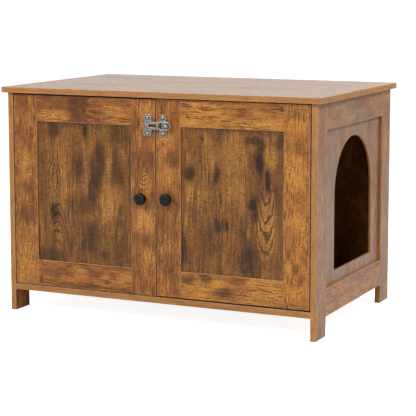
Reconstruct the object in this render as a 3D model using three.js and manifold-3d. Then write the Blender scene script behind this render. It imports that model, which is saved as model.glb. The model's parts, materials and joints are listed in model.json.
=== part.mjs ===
// Litter box cabinet: two framed sides, a top and a bottom board, a back panel and two inset framed
// doors with knobs, cup hinges and a flip latch. The right side panel has an arched entrance.
// Millimetres, +X to the right, +Y to the back, +Z up, origin on the floor under the middle of the
// whole object. Each door is a group that turns about its swing axis, and the latch bar is a group
// that turns about its pin.

import * as THREE from 'three';
import { mergeVertices } from 'three/addons/utils/BufferGeometryUtils.js';
import Module from 'manifold-3d';

const wasm = await Module();
wasm.setup();

// ---------------------------------------------------------------- driving dimensions

// Cabinet
const width = 900;
const depth = 580;
const height = 600;
const topThickness = 15;
const sideOverhang = 13;
const frontOverhang = 11;
const backOverhang = 12;
const frameThickness = 15;
const postWidth = 68;
const sideRailHeight = 70;
const lowerRailClearance = 50;
const bottomClearance = 57;
const bottomThickness = 16;

// Gap kept between a let-in piece and the seat that is cut for it
const play = 0.3;

// How far a cutter reaches past the face that it opens, and a joined form into its neighbour
const past = 1;

// Side panels, let into a rebate behind the side frames
const sidePanelThickness = 6;
const sideRebateWidth = 10;

// Arched entrance in the right side panel
const archFrontMargin = 79;
const archRearMargin = 62;
const archSillRise = 31;
const archCrownDrop = 33;

// Back panel, let into grooves
const backPanelThickness = 5;
const backPanelInset = 8;
const backGrooveDepth = 6;

// Doors
const doorThickness = 15;
const doorGap = 3;
const doorVerticalPlay = 7;
const leftDoorLift = 2;
const rightDoorLift = 4;
const stileWidth = 69;
const doorRailHeight = 68;
const doorPanelThickness = 5;
const doorPanelRecess = 5;
const doorGrooveDepth = 7;

// Knobs and the screws behind them
const knobRadius = 16;
const knobProjection = 27;
const knobNeckRadius = 6.5;
const knobFootRadius = 9;
const knobFootHeight = 3;
const knobFootTaper = 1;
const knobCove = 2;
const knobCapHeight = 13;
const knobUndersideRise = 1;
const knobRim = 2;
const knobShoulder = 5;
const knobFaceRise = 1.2;
const knobScrewRadius = 2;
const knobScrewGrip = 11;
const knobScrewHeadRadius = 4.2;
const knobScrewHeadHeight = 2.6;

// Cup hinges
const hingeEndDistance = 100;
const cupRadius = 17.5;
const cupDepth = 11;
const cupWall = 1;
const cupEdgeDistance = 4;
const cupFlangeThickness = 1.5;
const cupFlangeHeight = 62;
const cupFlangeWidth = 20;
const hingeArmLength = 46;
const hingeArmHeight = 14;
const hingeArmRise = 12;
const hingeArmWall = 2.5;
const hingeArmReach = 9;
const hingeArmFlare = 6;
const hingePlateLength = 32;
const hingePlateHeight = 48;
const hingePlateThickness = 2;
const hingeClearance = 0.8;

// Cam fittings between the boards and the side rails
const camRadius = 7.5;
const camDepth = 11;
const camEdgeDistance = 30;
const camBoltRadius = 3.5;
const camBoltGrip = 10;
const camEndDistance = 81;

// Flip latch
const latchDrop = 70;
const latchPlateThickness = 2.5;
const latchPlateHeight = 56;
const latchPlateCorner = 8;
const latchWaistDepth = 2.5;
const latchWaistHeight = 23;
const latchBaseWidth = 25;
const latchBaseCentre = 22;
const keeperWidth = 21;
const keeperCentre = 22;
const latchScrewSpacing = 40;
const latchScrewRadius = 1.6;
const latchScrewHeadRadius = 4;
const latchScrewHeadHeight = 2;
const latchScrewGrip = 11;
const barrelRadius = 4.3;
const barrelAxisForward = 8.5;
const barrelLength = 21;
const barKnuckleLength = 10;
const latchPinRadius = 1.5;
const latchPinHeadRadius = 2.6;
const latchPinHeadHeight = 1;
const barThickness = 3;
const barAxisOffset = 0.5;
const barHeight = 20;
const barBarrelClearance = 1;
const barWindowHeight = 7;
const barWindowPinMargin = 3.4;
const barWindowLoopMargin = 5.8;
const barLoopWall = 3;
const barLoopHeightClearance = 1;
const barLoopInnerClearance = 15;
const barLoopOuterClearance = 3.6;
const studOffset = 13.5;
const studEarRadius = 7.5;
const studCollarRadius = 5.5;
const studCollarHeight = 1.5;
const studCollarChamfer = 0.5;
const studNeckRadius = 3.5;
const studBallRadius = 6.8;
const studBallSetback = 1;

// Facets of round pieces, and of the curves in an outline or a profile
const fineSides = 32;
const roundSides = 24;
const smallSides = 16;
const archSegments = 40;
const loopSegments = 10;
const cornerSegments = 6;
const shoulderSteps = 6;
const faceSteps = 3;
const ballSteps = 9;

// ---------------------------------------------------------------- places worked out from them

const outerX = width / 2 - sideOverhang;
const innerX = outerX - frameThickness;
const frontY = -depth / 2 + frontOverhang;
const rearY = depth / 2 - backOverhang;
const topUndersideZ = height - topThickness;
const bottomTopZ = bottomClearance + bottomThickness;
const lowerRailTopZ = lowerRailClearance + sideRailHeight;
const upperRailBottomZ = topUndersideZ - sideRailHeight;
const doorHeight = topUndersideZ - bottomTopZ - doorVerticalPlay;
const doorEdgeX = innerX - doorGap;
const doorFreeX = doorGap / 2;
const doorBackY = frontY + doorThickness;
const swingAxisX = doorEdgeX + doorGap / 2;
const latchHeight = topUndersideZ - latchDrop;

// The knobs reach further forward than the top board, so everything moves back by half of that.
const centringShift = (knobProjection - frontOverhang) / 2;

// ---------------------------------------------------------------- shaping helpers

const mergeTolerance = 1e-4;

function solidOf(geometry) {
    const bare = geometry.clone();
    bare.deleteAttribute('normal');
    bare.deleteAttribute('uv');
    const merged = mergeVertices(bare, mergeTolerance);
    return new wasm.Manifold(new wasm.Mesh({
        numProp: 3,
        vertProperties: new Float32Array(merged.attributes.position.array),
        triVerts: new Uint32Array(merged.index.array)
    }));
}

function geometryOf(solid) {
    const mesh = solid.getMesh();
    const geometry = new THREE.BufferGeometry();
    geometry.setAttribute('position', new THREE.BufferAttribute(mesh.vertProperties, 3));
    geometry.setIndex(new THREE.BufferAttribute(mesh.triVerts, 1));
    geometry.computeVertexNormals();
    return geometry;
}

function cut(geometry, cutters) {
    let solid = solidOf(geometry);
    for (const cutter of cutters) {
        solid = solid.subtract(solidOf(cutter));
    }
    return geometryOf(solid);
}

function join(...geometries) {
    let solid = solidOf(geometries[0]);
    for (const geometry of geometries.slice(1)) {
        solid = solid.add(solidOf(geometry));
    }
    return geometryOf(solid);
}

// A box between two values on each axis, in either order.
function block([x0, x1], [y0, y1], [z0, z1]) {
    const box = new THREE.BoxGeometry(Math.abs(x1 - x0), Math.abs(y1 - y0), Math.abs(z1 - z0));
    box.translate((x0 + x1) / 2, (y0 + y1) / 2, (z0 + z1) / 2);
    return box;
}

// A round bar from one point to another.
function rod(from, to, radius, sides) {
    const start = new THREE.Vector3(...from);
    const end = new THREE.Vector3(...to);
    const along = end.clone().sub(start);
    const bar = new THREE.CylinderGeometry(radius, radius, along.length(), sides);
    const turn = new THREE.Quaternion().setFromUnitVectors(
        new THREE.Vector3(0, 1, 0), along.clone().normalize());
    bar.applyQuaternion(turn);
    bar.translate(...start.add(end).multiplyScalar(0.5).toArray());
    return bar;
}

// A turned form about a line through the given point, pointing to the front (-Y).
function turnedForward(profile, [x, y, z], sides) {
    const form = new THREE.LatheGeometry(profile.map(([r, h]) => new THREE.Vector2(r, h)), sides);
    form.rotateX(Math.PI);
    form.translate(x, y, z);
    return form;
}

// A flat outline in X and Z, thickened from one depth to another.
function plateFrom(shape, [y0, y1], curveSegments) {
    const form = new THREE.ExtrudeGeometry(shape, {
        depth: y1 - y0, bevelEnabled: false, curveSegments
    });
    form.rotateX(Math.PI / 2);
    form.translate(0, y1, 0);
    return form;
}

// A rectangle with round corners about a centre.
function roundedRectangle(centreX, centreZ, wide, high, corner) {
    const left = centreX - wide / 2;
    const right = centreX + wide / 2;
    const low = centreZ - high / 2;
    const top = centreZ + high / 2;
    const shape = new THREE.Shape();
    shape.moveTo(left + corner, low);
    shape.lineTo(right - corner, low);
    shape.absarc(right - corner, low + corner, corner, -Math.PI / 2, 0);
    shape.lineTo(right, top - corner);
    shape.absarc(right - corner, top - corner, corner, 0, Math.PI / 2);
    shape.lineTo(left + corner, top);
    shape.absarc(left + corner, top - corner, corner, Math.PI / 2, Math.PI);
    shape.lineTo(left, low + corner);
    shape.absarc(left + corner, low + corner, corner, Math.PI, Math.PI * 1.5);
    return shape;
}

// ---------------------------------------------------------------- materials and the group

const finishes = {
    topBoard: { color: 0xb8a894, roughness: 0.45, metalness: 0 },
    frameBoard: { color: 0xa4713f, roughness: 0.5, metalness: 0 },
    sidePanel: { color: 0x857466, roughness: 0.55, metalness: 0 },
    doorFrame: { color: 0xac6f32, roughness: 0.5, metalness: 0 },
    doorPanel: { color: 0x7a5228, roughness: 0.55, metalness: 0 },
    backBoard: { color: 0x8a6138, roughness: 0.6, metalness: 0 },
    blackLacquer: { color: 0x141414, roughness: 0.25, metalness: 0.3 },
    latchNickel: { color: 0x9a9690, roughness: 0.35, metalness: 1 },
    hingeSteel: { color: 0xb4b4b2, roughness: 0.3, metalness: 1 },
    screwSteel: { color: 0xc8c4bc, roughness: 0.35, metalness: 1 },
    camZinc: { color: 0xa8a8a4, roughness: 0.45, metalness: 1 }
};

const cabinet = new THREE.Group();
cabinet.position.y = centringShift;

const carcass = new THREE.Group();
cabinet.add(carcass);

function addPiece(group, name, geometry, finish) {
    const mesh = new THREE.Mesh(geometry, new THREE.MeshStandardMaterial(finishes[finish]));
    mesh.name = name;
    group.add(mesh);
}

const sides = [
    { name: 'left', sign: -1, doorBottomZ: bottomTopZ + leftDoorLift },
    { name: 'right', sign: 1, doorBottomZ: bottomTopZ + rightDoorLift }
];

// ---------------------------------------------------------------- cam fittings

// The cam turns in a bore in one board and pulls on a bolt that is screwed into the next board.
// In a fitting's own frame the bore opens at the origin and runs along +X, and the bolt along +Z.
const camAxisX = frameThickness / 2;
const boltLength = camEdgeDistance + camBoltGrip;

const fittingSeats = [
    rod([-past, 0, 0], [camDepth + play, 0, 0], camRadius + play, roundSides),
    rod([camAxisX, 0, 0], [camAxisX, 0, boltLength + play], camBoltRadius + play, smallSides)
];
const camNotch = rod([camAxisX, 0, 0], [camAxisX, 0, camRadius + past], camBoltRadius + play, smallSides);
const cam = cut(rod([0, 0, 0], [camDepth, 0, 0], camRadius, roundSides), [camNotch]);
const camBolt = rod([camAxisX, 0, play], [camAxisX, 0, boltLength], camBoltRadius, smallSides);

const fittingEnds = [
    { end: 'front', y: frontY + postWidth + camEndDistance },
    { end: 'rear', y: rearY - postWidth - camEndDistance }
];

// In the top rails the cams open to the inside and the bolts stand up into the top board.
function topFittings({ name, sign }) {
    return fittingEnds.map(({ end, y }) => {
        const group = new THREE.Group();
        group.position.set(sign * innerX, y, topUndersideZ - camEdgeDistance);
        group.rotation.z = sign > 0 ? 0 : Math.PI;
        return { name: `${name}_${end}_top`, group };
    });
}

// In the bottom board the cams open downwards and the bolts reach sideways into the bottom rails.
function bottomFittings({ name, sign }) {
    return fittingEnds.map(({ end, y }) => {
        const group = new THREE.Group();
        group.position.set(sign * (innerX - camEdgeDistance), y, bottomClearance);
        group.rotation.set(0, -Math.PI / 2, sign > 0 ? Math.PI : 0, 'ZYX');
        return { name: `${name}_${end}_bottom`, group };
    });
}

function seatsOf(fittings) {
    return fittings.flatMap(({ group }) => {
        group.updateMatrix();
        return fittingSeats.map((seat) => seat.clone().applyMatrix4(group.matrix));
    });
}

function addFitting({ name, group }) {
    addPiece(group, `${name}_cam`, cam, 'camZinc');
    addPiece(group, `${name}_bolt`, camBolt, 'camZinc');
    carcass.add(group);
}

// ---------------------------------------------------------------- let-in panels

// The panel itself with no spare, or its seat with the play around it.
function sidePanelBlock(sign, spare) {
    return block(
        [sign * (innerX - spare), sign * (innerX + sidePanelThickness + spare)],
        [frontY + postWidth - sideRebateWidth - spare, rearY - postWidth + sideRebateWidth + spare],
        [lowerRailTopZ - sideRebateWidth - spare, upperRailBottomZ + sideRebateWidth + spare]
    );
}

function backPanelBlock(spare) {
    const reach = backGrooveDepth - play + spare;
    const backFaceY = rearY - backPanelInset;
    return block(
        [-innerX - reach, innerX + reach],
        [backFaceY - backPanelThickness - spare, backFaceY + spare],
        [bottomTopZ - reach, topUndersideZ + reach]
    );
}

function archedOpening() {
    const archFrontY = frontY + postWidth + archFrontMargin;
    const archRearY = rearY - postWidth - archRearMargin;
    const centreY = (archFrontY + archRearY) / 2;
    const radius = (archRearY - archFrontY) / 2;
    const sillZ = lowerRailTopZ + archSillRise;
    const springZ = upperRailBottomZ - archCrownDrop - radius;
    const outline = new THREE.Shape();
    outline.moveTo(archFrontY, sillZ);
    outline.lineTo(archRearY, sillZ);
    outline.lineTo(archRearY, springZ);
    outline.absarc(centreY, springZ, radius, 0, Math.PI);
    const opening = new THREE.ExtrudeGeometry(outline, {
        depth: sidePanelThickness + past * 2, bevelEnabled: false, curveSegments: archSegments
    });
    opening.rotateX(Math.PI / 2);
    opening.rotateZ(Math.PI / 2);
    opening.translate(innerX - past, 0, 0);
    return opening;
}

// ---------------------------------------------------------------- carcass

function addSide(side) {
    const { name, sign } = side;
    const across = [sign * innerX, sign * outerX];
    const betweenPosts = [frontY + postWidth, rearY - postWidth];
    const panelSeat = sidePanelBlock(sign, play);
    const backSeat = backPanelBlock(play);
    const top = topFittings(side);
    const bottom = bottomFittings(side);

    const frontPost = block(across, [frontY, frontY + postWidth], [0, topUndersideZ]);
    const rearPost = block(across, [rearY - postWidth, rearY], [0, topUndersideZ]);
    const topRail = block(across, betweenPosts, [upperRailBottomZ, topUndersideZ]);
    const bottomRail = block(across, betweenPosts, [lowerRailClearance, lowerRailTopZ]);
    const panel = sidePanelBlock(sign, 0);
    const hasEntrance = sign > 0;

    addPiece(carcass, `${name}_front_post`, cut(frontPost, [panelSeat]), 'frameBoard');
    addPiece(carcass, `${name}_rear_post`, cut(rearPost, [panelSeat, backSeat]), 'frameBoard');
    addPiece(carcass, `${name}_top_rail`, cut(topRail, [panelSeat, ...seatsOf(top)]), 'frameBoard');
    addPiece(carcass, `${name}_bottom_rail`, cut(bottomRail, [panelSeat, ...seatsOf(bottom)]), 'frameBoard');
    addPiece(carcass, `${name}_side_panel`, hasEntrance ? cut(panel, [archedOpening()]) : panel, 'sidePanel');
    for (const fitting of [...top, ...bottom]) {
        addFitting(fitting);
    }
}

function addBoards() {
    const backSeat = backPanelBlock(play);
    const topSeats = sides.flatMap((side) => seatsOf(topFittings(side)));
    const bottomSeats = sides.flatMap((side) => seatsOf(bottomFittings(side)));
    const topBoard = block([-width / 2, width / 2], [-depth / 2, depth / 2], [topUndersideZ, height]);
    const bottomBoard = block([-innerX, innerX], [frontY, rearY], [bottomClearance, bottomTopZ]);
    addPiece(carcass, 'top_board', cut(topBoard, [backSeat, ...topSeats]), 'topBoard');
    addPiece(carcass, 'bottom_board', cut(bottomBoard, [backSeat, ...bottomSeats]), 'frameBoard');
    addPiece(carcass, 'back_panel', backPanelBlock(0), 'backBoard');
}

// ---------------------------------------------------------------- doors

// A door's own frame has its origin on the swing axis, at the door's front face and bottom edge.
// Its x() turns a distance from the middle of the cabinet into a place in that frame.
function startDoor({ name, sign, doorBottomZ }) {
    const group = new THREE.Group();
    group.position.set(sign * swingAxisX, frontY, doorBottomZ);
    cabinet.add(group);
    const x = (fromMiddle) => sign * (fromMiddle - swingAxisX);
    const isLatched = sign < 0;
    return {
        name,
        group,
        x,
        plateName: isLatched ? 'latch_base' : 'latch_keeper',
        plateX: x(isLatched ? latchBaseCentre : keeperCentre),
        latchZ: latchHeight - doorBottomZ
    };
}

const hingeHeights = [
    { end: 'lower', z: hingeEndDistance },
    { end: 'upper', z: doorHeight - hingeEndDistance }
];
const cupCentreX = doorEdgeX - cupEdgeDistance - cupRadius;

function latchScrewHeights({ latchZ }) {
    return [
        { end: 'lower', z: latchZ - latchScrewSpacing / 2 },
        { end: 'upper', z: latchZ + latchScrewSpacing / 2 }
    ];
}

function addDoorBoards(door) {
    const { name, group, x, plateX } = door;
    const innerStileX = doorFreeX + stileWidth;
    const outerStileX = doorEdgeX - stileWidth;
    const through = [0, doorThickness];
    const fullHeight = [0, doorHeight];
    const panelBackY = doorPanelRecess + doorPanelThickness;
    const lap = doorGrooveDepth - play;

    // The groove for the panel and the rails' tongues runs the whole length of both stiles.
    const grooveY = [doorPanelRecess - play, panelBackY + play];
    const grooveZ = [-past, doorHeight + past];
    const innerGroove = block([x(innerStileX - doorGrooveDepth), x(innerStileX + past)], grooveY, grooveZ);
    const outerGroove = block([x(outerStileX - past), x(outerStileX + doorGrooveDepth)], grooveY, grooveZ);

    const knobX = x(doorFreeX + stileWidth / 2);
    const knobZ = doorHeight / 2;
    const knobBore = rod(
        [knobX, -past, knobZ], [knobX, doorThickness + past, knobZ], knobScrewRadius + play, smallSides);
    const screwSeats = latchScrewHeights(door).map(({ z }) => rod(
        [plateX, -past, z], [plateX, latchScrewGrip + play, z], latchScrewRadius + play, smallSides));
    const cupSeats = hingeHeights.map(({ z }) => rod(
        [x(cupCentreX), doorThickness - cupDepth - play, z], [x(cupCentreX), doorThickness + past, z],
        cupRadius + play, fineSides));

    const innerStile = block([x(doorFreeX), x(innerStileX)], through, fullHeight);
    const outerStile = block([x(outerStileX), x(doorEdgeX)], through, fullHeight);
    addPiece(group, `${name}_door_inner_stile`, cut(innerStile, [innerGroove, knobBore, ...screwSeats]),
        'doorFrame');
    addPiece(group, `${name}_door_outer_stile`, cut(outerStile, [outerGroove, ...cupSeats]), 'doorFrame');

    const betweenStiles = [x(innerStileX), x(outerStileX)];
    const tongueX = [x(innerStileX - lap), x(outerStileX + lap)];
    const tongueY = [doorPanelRecess, panelBackY];
    const railGroove = block([x(doorFreeX), x(doorEdgeX)], grooveY,
        [doorRailHeight - doorGrooveDepth, doorHeight - doorRailHeight + doorGrooveDepth]);
    const rails = [
        { end: 'bottom', span: [0, doorRailHeight] },
        { end: 'top', span: [doorHeight - doorRailHeight, doorHeight] }
    ];
    for (const { end, span } of rails) {
        const rail = join(block(betweenStiles, through, span), block(tongueX, tongueY, span));
        addPiece(group, `${name}_door_${end}_rail`, cut(rail, [railGroove]), 'doorFrame');
    }
    const panelZ = [doorRailHeight - lap, doorHeight - doorRailHeight + lap];
    addPiece(group, `${name}_door_panel`, block(tongueX, tongueY, panelZ), 'doorPanel');
}

function knobProfile() {
    const capStart = knobProjection - knobCapHeight;
    const rimStart = capStart + knobUndersideRise;
    const shoulderStart = rimStart + knobRim;
    const shoulderHeight = knobProjection - knobFaceRise - shoulderStart;
    const faceRadius = knobRadius - knobShoulder;
    const profile = [
        [0, 0],
        [knobFootRadius, 0],
        [knobFootRadius - knobFootTaper, knobFootHeight],
        [knobNeckRadius, knobFootHeight + knobCove],
        [knobNeckRadius, capStart - knobCove],
        [knobRadius - knobRim, rimStart],
        [knobRadius, shoulderStart]
    ];
    for (let step = 1; step <= shoulderSteps; step += 1) {
        const turn = (Math.PI / 2) * (step / shoulderSteps);
        profile.push([
            faceRadius + knobShoulder * Math.cos(turn),
            shoulderStart + shoulderHeight * Math.sin(turn)
        ]);
    }
    for (let step = 1; step < faceSteps; step += 1) {
        const share = 1 - step / faceSteps;
        profile.push([faceRadius * share, knobProjection - knobFaceRise * share ** 2]);
    }
    profile.push([0, knobProjection]);
    return profile;
}

function addKnob({ name, group, x }) {
    const knobX = x(doorFreeX + stileWidth / 2);
    const knobZ = doorHeight / 2;
    const alongKnob = (y) => [knobX, y, knobZ];
    const blank = turnedForward(knobProfile(), alongKnob(0), fineSides);
    const socket = rod(
        alongKnob(past), alongKnob(-knobScrewGrip - play), knobScrewRadius + play, smallSides);
    const shank = rod(
        alongKnob(-knobScrewGrip), alongKnob(doorThickness + past), knobScrewRadius, smallSides);
    const head = rod(
        alongKnob(doorThickness), alongKnob(doorThickness + knobScrewHeadHeight),
        knobScrewHeadRadius, smallSides);
    addPiece(group, `${name}_knob`, cut(blank, [socket]), 'blackLacquer');
    addPiece(group, `${name}_knob_screw`, join(shank, head), 'screwSteel');
}

// ---------------------------------------------------------------- cup hinges

// The cup is let into the door, and its flange lies on the door's inner face.
function addHingeCup({ name, group, x }, { end, z }) {
    const cupX = x(cupCentreX);
    const bottomY = doorThickness - cupDepth;
    const rimY = doorThickness + cupFlangeThickness;
    const body = rod([cupX, bottomY, z], [cupX, rimY, z], cupRadius, fineSides);
    const flange = block(
        [cupX - cupFlangeWidth / 2, cupX + cupFlangeWidth / 2],
        [doorThickness, rimY],
        [z - cupFlangeHeight / 2, z + cupFlangeHeight / 2]
    );
    const hollow = rod([cupX, bottomY + cupWall, z], [cupX, rimY + past, z], cupRadius - cupWall, fineSides);
    addPiece(group, `${name}_${end}_hinge_cup`, cut(join(body, flange), [hollow]), 'hingeSteel');
}

// The arm stands on a base plate on the post and bends across to the middle of the cup.
function addHingeArm({ name, sign, doorBottomZ }, { end, z }) {
    const frontEndY = doorBackY + cupFlangeThickness + hingeClearance;
    const rearEndY = frontEndY + hingeArmLength;
    const bendY = frontEndY + hingeArmReach;
    const highX = innerX - hingeArmRise;
    const outline = new THREE.Shape();
    outline.moveTo(innerX, rearEndY);
    outline.lineTo(innerX, bendY + hingeArmFlare);
    outline.lineTo(cupCentreX + hingeArmWall, frontEndY);
    outline.lineTo(cupCentreX - hingeArmWall, frontEndY);
    outline.lineTo(cupCentreX - hingeArmWall, bendY);
    outline.lineTo(highX, bendY + hingeArmFlare * 2);
    outline.lineTo(highX, rearEndY - hingeArmWall);
    outline.lineTo(highX + hingeArmWall, rearEndY);
    const arm = new THREE.ExtrudeGeometry(outline, { depth: hingeArmHeight, bevelEnabled: false });
    arm.translate(0, 0, -hingeArmHeight / 2);
    const plate = block(
        [innerX, innerX - hingePlateThickness],
        [rearEndY - hingePlateLength, rearEndY],
        [-hingePlateHeight / 2, hingePlateHeight / 2]
    );
    const both = join(arm, plate);
    both.rotateY(sign > 0 ? 0 : Math.PI);
    both.translate(0, 0, doorBottomZ + z);
    addPiece(carcass, `${name}_${end}_hinge_arm`, both, 'hingeSteel');
}

// ---------------------------------------------------------------- flip latch

// A plate with round corners and a shallow waist on both sides.
function latchPlate({ plateX, latchZ }, plateWidth) {
    const outline = roundedRectangle(plateX, latchZ, plateWidth, latchPlateHeight, latchPlateCorner);
    const halfWaist = latchWaistHeight / 2;
    const waistRadius = (halfWaist ** 2 + latchWaistDepth ** 2) / (2 * latchWaistDepth);
    const waistOffset = plateWidth / 2 - latchWaistDepth + waistRadius;
    const waists = [-waistOffset, waistOffset].map((offset) => rod(
        [plateX + offset, past, latchZ], [plateX + offset, -latchPlateThickness - past, latchZ],
        waistRadius, archSegments));
    return cut(plateFrom(outline, [-latchPlateThickness, 0], cornerSegments), waists);
}

function latchPlateHoles(door) {
    return latchScrewHeights(door).map(({ z }) => rod(
        [door.plateX, past, z], [door.plateX, -latchPlateThickness - past, z],
        latchScrewRadius + play, smallSides));
}

function addLatchScrews(door) {
    const { group, plateName, plateX } = door;
    for (const { end, z } of latchScrewHeights(door)) {
        const shank = rod([plateX, latchScrewGrip, z], [plateX, -latchPlateThickness - past, z],
            latchScrewRadius, smallSides);
        const head = rod([plateX, -latchPlateThickness, z],
            [plateX, -latchPlateThickness - latchScrewHeadHeight, z], latchScrewHeadRadius, smallSides);
        addPiece(group, `${plateName}_${end}_screw`, join(shank, head), 'screwSteel');
    }
}

// Two knuckles stand on the base plate, and the bar's knuckle turns between them on the pin.
function addLatchBase(door) {
    const { group, plateX, latchZ } = door;
    const barrel = (radius, low, high) => rod(
        [plateX, -barrelAxisForward, latchZ + low], [plateX, -barrelAxisForward, latchZ + high],
        radius, smallSides);
    const half = barrelLength / 2;
    const inner = barKnuckleLength / 2 + play;
    const knuckles = [[-half, -inner], [inner, half]].flatMap(([low, high]) => [
        barrel(barrelRadius, low, high),
        block([plateX - barrelRadius, plateX + barrelRadius], [-barrelAxisForward, -latchPlateThickness / 2],
            [latchZ + low, latchZ + high])
    ]);
    const pinBore = barrel(latchPinRadius + play, -half - past, half + past);
    const blank = join(latchPlate(door, latchBaseWidth), ...knuckles);
    const base = cut(blank, [...latchPlateHoles(door), pinBore]);
    const headZ = half + play;
    const pin = join(
        barrel(latchPinRadius, -half, headZ + latchPinHeadHeight / 2),
        barrel(latchPinHeadRadius, headZ, headZ + latchPinHeadHeight)
    );
    addPiece(group, 'latch_base', base, 'latchNickel');
    addPiece(group, 'latch_pin', pin, 'latchNickel');
}

// The bar's own frame has its origin on the pin's axis, at the bar's mid height.
function addLatchBar(door) {
    const studX = latchBaseCentre + keeperCentre + studOffset;
    const barY = [-barAxisOffset - barThickness, -barAxisOffset];
    const nearX = barrelRadius + barBarrelClearance;
    const holeHalf = studBallRadius + barLoopHeightClearance;
    const loopHalf = holeHalf + barLoopWall;
    const neckX = studX - studBallRadius - barLoopInnerClearance;
    const holeStartX = neckX + holeHalf;
    const holeEndX = studX + studBallRadius + barLoopOuterClearance - holeHalf;
    const halfHigh = barHeight / 2;

    const outline = new THREE.Shape();
    outline.moveTo(nearX, -halfHigh);
    outline.lineTo(neckX, -halfHigh);
    outline.lineTo(holeStartX, -loopHalf);
    outline.lineTo(holeEndX, -loopHalf);
    outline.absarc(holeEndX, 0, loopHalf, -Math.PI / 2, Math.PI / 2);
    outline.lineTo(holeStartX, loopHalf);
    outline.lineTo(neckX, halfHigh);
    outline.lineTo(nearX, halfHigh);

    const loopHole = new THREE.Path();
    loopHole.absarc(holeEndX, 0, holeHalf, -Math.PI / 2, Math.PI / 2);
    loopHole.absarc(holeStartX, 0, holeHalf, Math.PI / 2, Math.PI * 1.5);
    outline.holes.push(loopHole);

    const windowX = [nearX + barWindowPinMargin, neckX - barWindowLoopMargin];
    const windowHole = block(windowX, [past, -barAxisOffset - barThickness - past],
        [-barWindowHeight / 2, barWindowHeight / 2]);

    const halfKnuckle = barKnuckleLength / 2;
    const knuckle = rod([0, 0, -halfKnuckle], [0, 0, halfKnuckle], barrelRadius, smallSides);
    const web = block([0, nearX + past], barY, [-halfKnuckle, halfKnuckle]);
    const pinBore = rod([0, 0, -barrelLength], [0, 0, barrelLength], latchPinRadius + play, smallSides);
    const blank = join(plateFrom(outline, barY, loopSegments), knuckle, web);

    const bar = new THREE.Group();
    bar.position.set(door.plateX, -barrelAxisForward, door.latchZ);
    door.group.add(bar);
    addPiece(bar, 'latch_bar', cut(blank, [windowHole, pinBore]), 'latchNickel');
}

// The keeper's stud stands on an ear of the plate: a collar, a neck and a ball in the bar's loop.
function addLatchKeeper(door) {
    const { group, plateX, latchZ } = door;
    const collarTop = latchPlateThickness + studCollarHeight;
    const ballForward = barrelAxisForward + barAxisOffset + barThickness - studBallSetback;
    const neckTurn = Math.asin(studNeckRadius / studBallRadius);
    const profile = [
        [0, latchPlateThickness / 2],
        [studCollarRadius, latchPlateThickness / 2],
        [studCollarRadius, collarTop - studCollarChamfer],
        [studNeckRadius, collarTop]
    ];
    for (let step = 0; step < ballSteps; step += 1) {
        const turn = neckTurn + (Math.PI - neckTurn) * (step / ballSteps);
        profile.push([studBallRadius * Math.sin(turn), ballForward - studBallRadius * Math.cos(turn)]);
    }
    profile.push([0, ballForward + studBallRadius]);
    const studX = plateX + studOffset;
    const stud = turnedForward(profile, [studX, 0, latchZ], roundSides);
    const ear = join(
        rod([studX, 0, latchZ], [studX, -latchPlateThickness, latchZ], studEarRadius, roundSides),
        block([plateX, studX], [0, -latchPlateThickness], [latchZ - studEarRadius, latchZ + studEarRadius])
    );
    const keeper = cut(join(latchPlate(door, keeperWidth), ear, stud), latchPlateHoles(door));
    addPiece(group, 'latch_keeper', keeper, 'latchNickel');
}

// ---------------------------------------------------------------- assembly

addBoards();
for (const side of sides) {
    addSide(side);
}

const [leftDoor, rightDoor] = sides.map((side) => {
    const door = startDoor(side);
    addDoorBoards(door);
    addKnob(door);
    for (const place of hingeHeights) {
        addHingeCup(door, place);
        addHingeArm(side, place);
    }
    addLatchScrews(door);
    return door;
});
addLatchBase(leftDoor);
addLatchBar(leftDoor);
addLatchKeeper(rightDoor);

export default cabinet;
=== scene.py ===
import json
import math
from types import SimpleNamespace

import bmesh
import bpy
from bpy.props import FloatProperty, FloatVectorProperty, PointerProperty
from mathutils import Matrix, Vector


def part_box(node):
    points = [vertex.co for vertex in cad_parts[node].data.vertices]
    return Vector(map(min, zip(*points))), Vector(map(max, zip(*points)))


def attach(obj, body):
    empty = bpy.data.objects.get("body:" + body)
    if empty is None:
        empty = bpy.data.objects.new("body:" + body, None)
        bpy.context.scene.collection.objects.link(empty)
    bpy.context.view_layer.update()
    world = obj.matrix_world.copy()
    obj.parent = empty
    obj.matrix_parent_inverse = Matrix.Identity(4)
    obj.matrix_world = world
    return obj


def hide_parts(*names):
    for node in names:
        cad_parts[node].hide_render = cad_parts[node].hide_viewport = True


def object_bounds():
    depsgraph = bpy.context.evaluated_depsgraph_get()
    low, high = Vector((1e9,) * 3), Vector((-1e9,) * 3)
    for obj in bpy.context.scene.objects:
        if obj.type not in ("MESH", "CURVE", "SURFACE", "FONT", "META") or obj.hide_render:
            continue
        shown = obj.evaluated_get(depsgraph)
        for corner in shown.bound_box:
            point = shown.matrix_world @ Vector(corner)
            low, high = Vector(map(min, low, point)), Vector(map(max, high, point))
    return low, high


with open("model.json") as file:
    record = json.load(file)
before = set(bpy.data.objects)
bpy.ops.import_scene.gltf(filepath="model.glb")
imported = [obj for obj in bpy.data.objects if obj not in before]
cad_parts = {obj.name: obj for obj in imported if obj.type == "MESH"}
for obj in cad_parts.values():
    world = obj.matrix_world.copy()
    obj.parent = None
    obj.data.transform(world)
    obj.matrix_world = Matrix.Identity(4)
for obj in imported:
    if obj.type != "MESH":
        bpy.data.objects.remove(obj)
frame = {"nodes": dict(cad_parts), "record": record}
cad_low, cad_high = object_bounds()

bl_info = {
    "name": "Litter box cabinet",
    "version": (1, 0, 0),
    "blender": (4, 5, 0),
    "location": "3D View > Sidebar > Cabinet",
    "description": "Laminated boards, knobs, hinges and a flip latch on the cabinet's frame",
    "category": "Object",
}

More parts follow.
